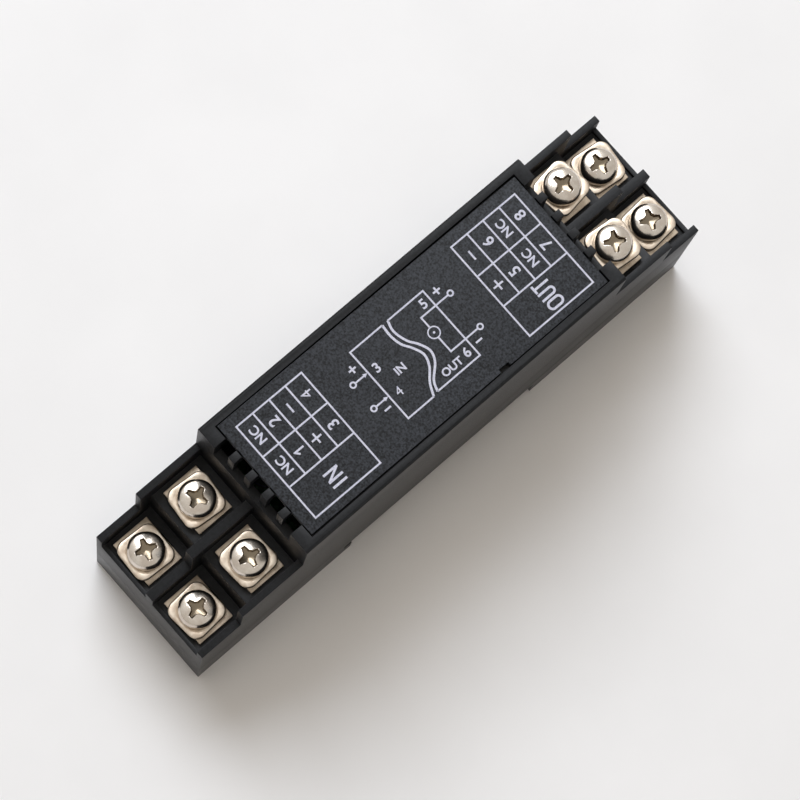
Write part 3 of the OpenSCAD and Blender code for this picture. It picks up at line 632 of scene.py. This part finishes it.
def print_title(out, letters, height, foot_y, middles):
    """Condensed capitals of one stroke width: I, N and T are outlines, O and U are bent lines."""
    stroke, narrow, wide, slope = 0.35, 0.97, 1.22, 0.72
    bend_points, oval_points = 13, 26
    # Turned this little, no point of the O lies where its upper and lower half part
    oval_start = 0.01
    half = stroke / 2
    bend = np.linspace(0, math.pi, bend_points)
    for letter, x in zip(letters, middles):
        if letter == "O":
            around = np.linspace(0, 2 * math.pi, oval_points, endpoint=False) + oval_start
            rise = np.sign(np.sin(around)) * (height / 2 - half - wide / 2)
            y = foot_y + height / 2 + rise + wide / 2 * np.sin(around)
            out.line(np.stack([x + wide / 2 * np.cos(around), y], axis=-1), True, stroke)
        elif letter == "U":
            bowl_y = foot_y + half + narrow / 2
            bowl = np.stack([x - narrow / 2 * np.cos(bend), bowl_y - narrow / 2 * np.sin(bend)], axis=-1)
            ends = np.array([[x - narrow / 2, foot_y + height], [x + narrow / 2, foot_y + height]])
            out.line(np.concatenate([ends[:1], bowl, ends[1:]]), False, stroke)
        else:
            reach = {"I": half, "N": wide / 2 + half, "T": narrow / 2 + half}[letter]
            shape = {
                "I": [(-half, 0), (half, 0), (half, height), (-half, height)],
                "T": [
                    (-half, 0), (half, 0), (half, height - stroke), (reach, height - stroke), (reach, height),
                    (-reach, height), (-reach, height - stroke), (-half, height - stroke),
                ],
                "N": [
                    (-reach, 0), (stroke - reach, 0), (stroke - reach, height - slope), (reach - stroke, 0),
                    (reach, 0), (reach, height), (reach - stroke, height), (reach - stroke, slope),
                    (stroke - reach, height), (-reach, height),
                ],
            }[letter]
            out.patch([(x + dx, foot_y + dy) for dx, dy in shape])


def print_sign_or_word(out, text, height, place, turn):
    """Plus, minus and a flagged 1 are outlines; anything else is text."""
    half, thin = height / 2, 0.14
    outlines = {
        "-": [(-half, -thin), (half, -thin), (half, thin), (-half, thin)],
        "+": [
            (-half, -thin), (-thin, -thin), (-thin, -half), (thin, -half), (thin, -thin), (half, -thin),
            (half, thin), (thin, thin), (thin, half), (-thin, half), (-thin, thin), (-half, thin),
        ],
        "1": [
            (0.2, -half), (0.48, -half), (0.48, half), (0.32, half), (-0.34, half - 0.58),
            (-0.16, half - 0.8), (0.2, half - 0.46),
        ],
    }
    if text not in outlines:
        # A 4 stays thin, so that its counter stays open
        bold = 0 if text == "4" else 0.045
        out.words(text, height, place, turn, bold)
        return
    c, s = math.cos(math.radians(turn)), math.sin(math.radians(turn))
    out.patch([(place[0] + x * c - y * s, place[1] + x * s + y * c) for x, y in outlines[text]])


def print_table(name, rows, y_low, y_high, **title):
    """A table of a title cell and two columns of four cells, turned as a whole by the print's skew.

    The title is its letters, their height, their foot's y and the middle x of each.
    """
    out = LabelPrint()
    columns = np.linspace(*TABLE_X, TABLE_COLUMNS + 1)
    levels = np.linspace(y_low, y_high, TABLE_ROWS + 1)
    half = LINE_W / 2
    xs = np.stack([columns - half, columns + half], axis=-1).ravel()
    ys = np.stack([levels - half, levels + half], axis=-1).ravel()
    column_lines = np.arange(len(xs) - 1) % 2 == 0
    row_lines = np.arange(len(ys) - 1) % 2 == 0
    filled = np.repeat(column_lines[None, :], len(ys) - 1, axis=0)
    # The title cell is as high as the table, so the lines between the rows start beside it
    filled[row_lines, 2:] = True
    filled[0, :] = filled[-1, :] = True
    out.cells(xs, ys, filled, PRINT_SKEW)
    turn = math.radians(PRINT_SKEW)

    def skewed(x, y):
        return x * math.cos(turn) - y * math.sin(turn), x * math.sin(turn) + y * math.cos(turn)

    print_title(out, **title)
    for i, row in enumerate(rows):
        for k, text in enumerate(row):
            place = skewed((columns[k + 1] + columns[k + 2]) / 2, (levels[-1 - i] + levels[-2 - i]) / 2)
            print_sign_or_word(out, text, SIGN_H.get(text, DIGIT_H), place, PRINT_SKEW)
    out.finish(name)


def smooth_through(points, steps=8):
    """Catmull-Rom curve: a cubic from each point b to the next, c, with slopes (c - a)/2 and (d - b)/2."""
    p = np.asarray(points, dtype=float)
    q = np.concatenate([[2 * p[0] - p[1]], p, [2 * p[-1] - p[-2]]])
    a, b, c, d = (q[i:len(q) - 3 + i, None, :] for i in range(4))
    t = np.linspace(0, 1, steps, endpoint=False)[None, :, None]
    curve = b + ((c - a) * t + (2 * a - 5 * b + 4 * c - d) * t ** 2 + (3 * b - a - 3 * c + d) * t ** 3) / 2
    return np.concatenate([curve.reshape(-1, 2), p[-1:]])


def print_halves(out):
    """The drawing's two halves: each has three straight sides, and a wave along the gap between them."""
    wave_w = 0.34
    input_wave = [
        (-6.23, 2.02), (-4.43, 1.12), (-2.65, -0.35), (-1.0, -0.88), (0.68, -0.28), (2.1, 0.56), (3.81, 0.91),
        (5.78, 0.8),
    ]
    output_wave = [
        (-6.04, 1.15), (-4.51, 0.48), (-2.76, -1.3), (-1.17, -1.9), (0.52, -1.3), (2.05, -0.33), (4.12, 0.17),
        (5.79, -0.2),
    ]
    for wave, end in ((input_wave, DRAWING_END), (output_wave, -DRAWING_END)):
        out.line([wave[-1], (wave[-1][0], end), (wave[0][0], end), wave[0]])
        out.line(smooth_through(wave), False, wave_w)


def print_leads(out):
    """The input's leads end in arrows at its half, and the output's run on to its source, a dotted ring."""
    half = LINE_W / 2
    ring_r, ring_y = 0.39, 9.33
    input_xs, output_xs = (2.11, -2.17), (3.1, -3.06)
    arrow_l, arrow_w = 0.75, 0.32
    arrow_y = DRAWING_END + arrow_l
    source_x, source_y, source_r, source_w = 0.42, -3.96, 0.85, 0.19
    dot_r, dot_points = 0.18, 16
    for x in input_xs:
        out.ring((x, ring_y), ring_r)
        out.line([(x, ring_y - ring_r - half), (x, arrow_y)])
        out.patch([(x, DRAWING_END + half), (x + arrow_w, arrow_y), (x - arrow_w, arrow_y)])
    for x, side in zip(output_xs, (1, -1)):
        out.ring((x, -ring_y), ring_r)
        out.line([(x, -ring_y + ring_r + half), (x, -DRAWING_END - half)])
        source_side = source_x + side * (source_r + half)
        out.line([(x, -DRAWING_END + half), (x, source_y), (source_side, source_y)])
    out.ring((source_x, source_y), source_r, source_w)
    dot = np.linspace(0, 2 * math.pi, dot_points, endpoint=False)
    out.patch(np.stack([source_x + dot_r * np.cos(dot), source_y + dot_r * np.sin(dot)], axis=-1))


def print_drawing():
    """The circuit drawing with its signs, numbers and words, which read along the object."""
    digit_h, sideways = 1.45, -90
    out = LabelPrint()
    print_halves(out)
    print_leads(out)
    for text, height, place in (
        ("+", 1.2, (3.8, 8.0)), ("-", 1.1, (-3.41, 7.89)), ("3", digit_h, (1.92, 5.27)),
        ("4", digit_h, (-2.52, 5.13)), ("IN", 1.22, (-0.31, 2.94)), ("+", 1.2, (4.59, -8.09)),
        ("-", 1.1, (-4.42, -7.91)), ("5", digit_h, (4.45, -5.5)), ("6", digit_h, (-4.48, -5.51)),
        ("OUT", 1.18, (-4.73, -2.65)),
    ):
        print_sign_or_word(out, text, height, place, sideways)
    out.finish("printed_circuit_drawing")


print_table(
    "printed_input_table", (("NC", "NC"), ("1", "2"), ("+", "-"), ("3", "4")), y_low=13.57, y_high=25.2,
    letters="IN", height=2.45, foot_y=18.3, middles=(-6.83, -5.33),
)
print_table(
    "printed_output_table", (("+", "-"), ("5", "6"), ("NC", "NC"), ("7", "8")), y_low=-25.45, y_high=-13.68,
    letters="OUT", height=2.65, foot_y=-20.87, middles=(-7.27, -5.6, -4.15),
)
print_drawing()


# Table top, light and camera, in metres unless a name says otherwise

def add_table_top():
    """The pale table that the isolator lies on."""
    half = 3
    corners = [(-half, -half, 0), (half, -half, 0), (half, half, 0), (-half, half, 0)]
    mesh = bpy.data.meshes.new("table_top")
    mesh.from_pydata(corners, [], [(0, 1, 2, 3)])
    mesh.materials.append(laminate)
    table_top = bpy.data.objects.new("table_top", mesh)
    bpy.context.scene.collection.objects.link(table_top)


def set_window():
    """A window is a square area light that faces the object, elevation up from the table, bearing from +X."""
    side, distance = 0.75, 1.3
    elevation, bearing = math.radians(55.5), math.radians(-25.5)
    colour, power = (0.96, 1, 1.06), 12.1
    window = bpy.data.lights.new("window", "AREA")
    window.shape = "SQUARE"
    window.size = side
    window.color = colour
    window.energy = power
    lamp = bpy.data.objects.new("window", window)
    up, out = math.sin(elevation), math.cos(elevation)
    toward = Vector((out * math.cos(bearing), out * math.sin(bearing), up))
    lamp.location = distance * toward
    lamp.rotation_euler = toward.to_track_quat("Z", "Y").to_euler()
    bpy.context.scene.collection.objects.link(lamp)


def set_room():
    """The room's world does the rest of the lighting.

    To the table and to matt colours the world is a glow from straight above, of strength peak * z^spread plus
    a little from all round. To the camera, to gloss and to clear plastic it is an even pale room.
    """
    peak, spread, around, glow_colour = 4.85, 26, 0.04, (1.09, 1, 0.89, 1)
    room_colour, room_strength = (1.02, 1, 0.96, 1), 0.6
    world = bpy.data.worlds.new("room")
    bpy.context.scene.world = world
    world.use_nodes = True
    tree = world.node_tree
    tree.nodes.clear()
    place = add(tree, "ShaderNodeTexCoord", {})
    axes = add(tree, "ShaderNodeSeparateXYZ", {}, {0: place.outputs["Generated"]})
    above = add(tree, "ShaderNodeMath", {"operation": "MAXIMUM", 1: 0}, {0: axes.outputs["Z"]})
    lobe = add(tree, "ShaderNodeMath", {"operation": "POWER", 1: spread}, {0: above.outputs[0]})
    glow = add(
        tree, "ShaderNodeMath", {"operation": "MULTIPLY_ADD", 1: peak, 2: around}, {0: lobe.outputs[0]}
    )
    path = add(tree, "ShaderNodeLightPath", {})
    seen = add(
        tree, "ShaderNodeMath", {"operation": "ADD"},
        {0: path.outputs["Is Camera Ray"], 1: path.outputs["Is Glossy Ray"]},
    )
    clear = add(
        tree, "ShaderNodeMath", {"operation": "ADD", "use_clamp": True},
        {0: seen.outputs[0], 1: path.outputs["Is Transmission Ray"]},
    )
    lit = add(tree, "ShaderNodeBackground", {"Color": glow_colour}, {"Strength": glow.outputs[0]})
    pale = add(tree, "ShaderNodeBackground", {"Color": room_colour, "Strength": room_strength})
    mixed = add(
        tree, "ShaderNodeMixShader", {}, {0: clear.outputs[0], 1: lit.outputs[0], 2: pale.outputs[0]}
    )
    add(tree, "ShaderNodeOutputWorld", {}, {"Surface": mixed.outputs[0]})


def set_camera():
    """The camera found from the housing's corners in the photograph: its place, its right and its down."""
    lens_mm, sensor_mm = 148.75, 36
    place = Vector((-46.12, 94.32, 478.07)) * MM
    right = Vector((-0.6612, -0.7452, 0.0863)).normalized()
    forward = right.cross(Vector((-0.7442, 0.6371, -0.2009))).normalized()
    down = forward.cross(right)
    camera = bpy.data.cameras.new("camera")
    camera.lens = lens_mm
    camera.sensor_width = sensor_mm
    camera.sensor_fit = "HORIZONTAL"
    eye = bpy.data.objects.new("camera", camera)
    axes = Matrix((right, -down, -forward)).transposed().to_4x4()
    eye.matrix_world = Matrix.Translation(place) @ axes
    bpy.context.scene.collection.objects.link(eye)
    bpy.context.scene.camera = eye


add_table_top()
set_window()
set_room()
set_camera()
bpy.context.scene.view_settings.view_transform = "Standard"
